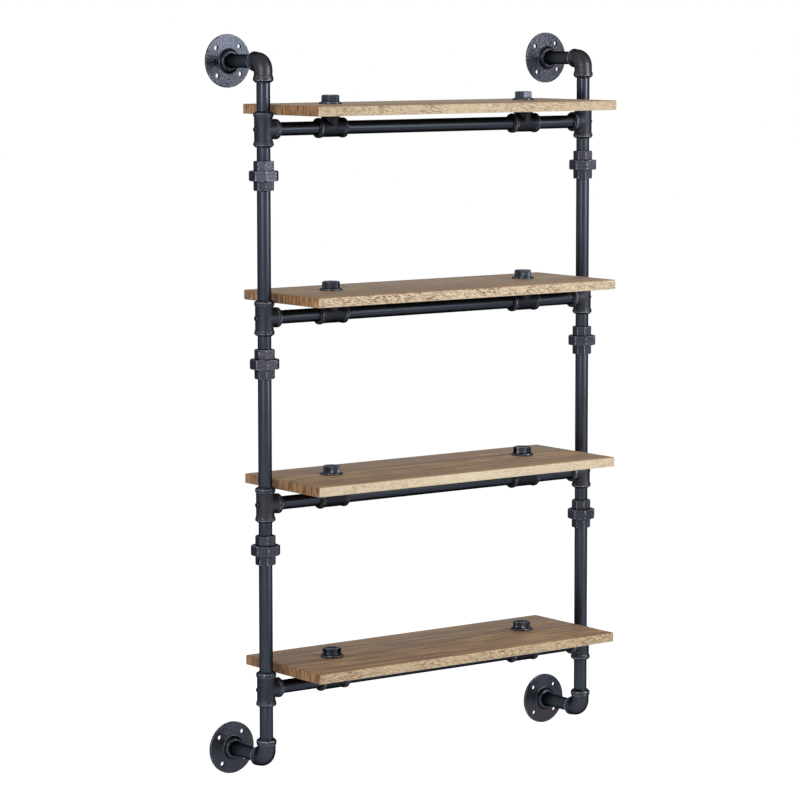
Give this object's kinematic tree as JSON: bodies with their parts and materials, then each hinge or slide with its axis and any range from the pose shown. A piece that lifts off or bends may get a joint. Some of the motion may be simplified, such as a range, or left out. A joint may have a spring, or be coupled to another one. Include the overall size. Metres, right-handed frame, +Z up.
{
  "type": "pipe shelving unit",
  "caption": "Wall-mounted shelving unit: oak boards bolted down on pipe rails between two pipe risers with tees, unions, elbows and screw flanges.",
  "frame": {"origin": "on the wall plane, midway between the centres of the two lower wall flanges", "axes": "+Z up along the risers, +Y into the wall, +X along the boards to the right as seen from the front"},
  "size_m": [0.719, 0.212, 1.1665],
  "materials": {
    "iron_fitting": "malleable iron, cast skin, black",
    "pipe_paint": "steel pipe, satin blue-grey charcoal",
    "board_oak": "edge-glued oak, oiled grey-brown, with paler rough-sawn edges"
  },
  "bodies": {
    "root": {"board_1": "board_oak", "board_2": "board_oak", "board_3": "board_oak", "board_4": "board_oak", "lower_elbow_left": "iron_fitting", "lower_elbow_right": "iron_fitting", "lower_flange_left": "iron_fitting", "lower_flange_right": "iron_fitting", "plug_1_left": "iron_fitting", "plug_1_right": "iron_fitting", "plug_2_left": "iron_fitting", "plug_2_right": "iron_fitting", "plug_3_left": "iron_fitting", "plug_3_right": "iron_fitting", "plug_4_left": "iron_fitting", "plug_4_right": "iron_fitting", "rail_pipe_1": "pipe_paint", "rail_pipe_2": "pipe_paint", "rail_pipe_3": "pipe_paint", "rail_pipe_4": "pipe_paint", "rail_tee_1_left": "iron_fitting", "rail_tee_1_right": "iron_fitting", "rail_tee_2_left": "iron_fitting", "rail_tee_2_right": "iron_fitting", "rail_tee_3_left": "iron_fitting", "rail_tee_3_right": "iron_fitting", "rail_tee_4_left": "iron_fitting", "rail_tee_4_right": "iron_fitting", "riser_pipe_1_left": "pipe_paint", "riser_pipe_1_right": "pipe_paint", "riser_pipe_2_left": "pipe_paint", "riser_pipe_2_right": "pipe_paint", "riser_pipe_3_left": "pipe_paint", "riser_pipe_3_right": "pipe_paint", "riser_tee_1_left": "iron_fitting", "riser_tee_1_right": "iron_fitting", "riser_tee_2_left": "iron_fitting", "riser_tee_2_right": "iron_fitting", "riser_tee_3_left": "iron_fitting", "riser_tee_3_right": "iron_fitting", "riser_tee_4_left": "iron_fitting", "riser_tee_4_right": "iron_fitting", "union_nut_1_left": "iron_fitting", "union_nut_1_right": "iron_fitting", "union_nut_2_left": "iron_fitting", "union_nut_2_right": "iron_fitting", "union_nut_3_left": "iron_fitting", "union_nut_3_right": "iron_fitting", "union_tail_1_left": "iron_fitting", "union_tail_1_right": "iron_fitting", "union_tail_2_left": "iron_fitting", "union_tail_2_right": "iron_fitting", "union_tail_3_left": "iron_fitting", "union_tail_3_right": "iron_fitting", "upper_elbow_left": "iron_fitting", "upper_elbow_right": "iron_fitting", "upper_flange_left": "iron_fitting", "upper_flange_right": "iron_fitting", "upper_pipe_left": "pipe_paint", "upper_pipe_right": "pipe_paint"}
  },
  "joints": []
}
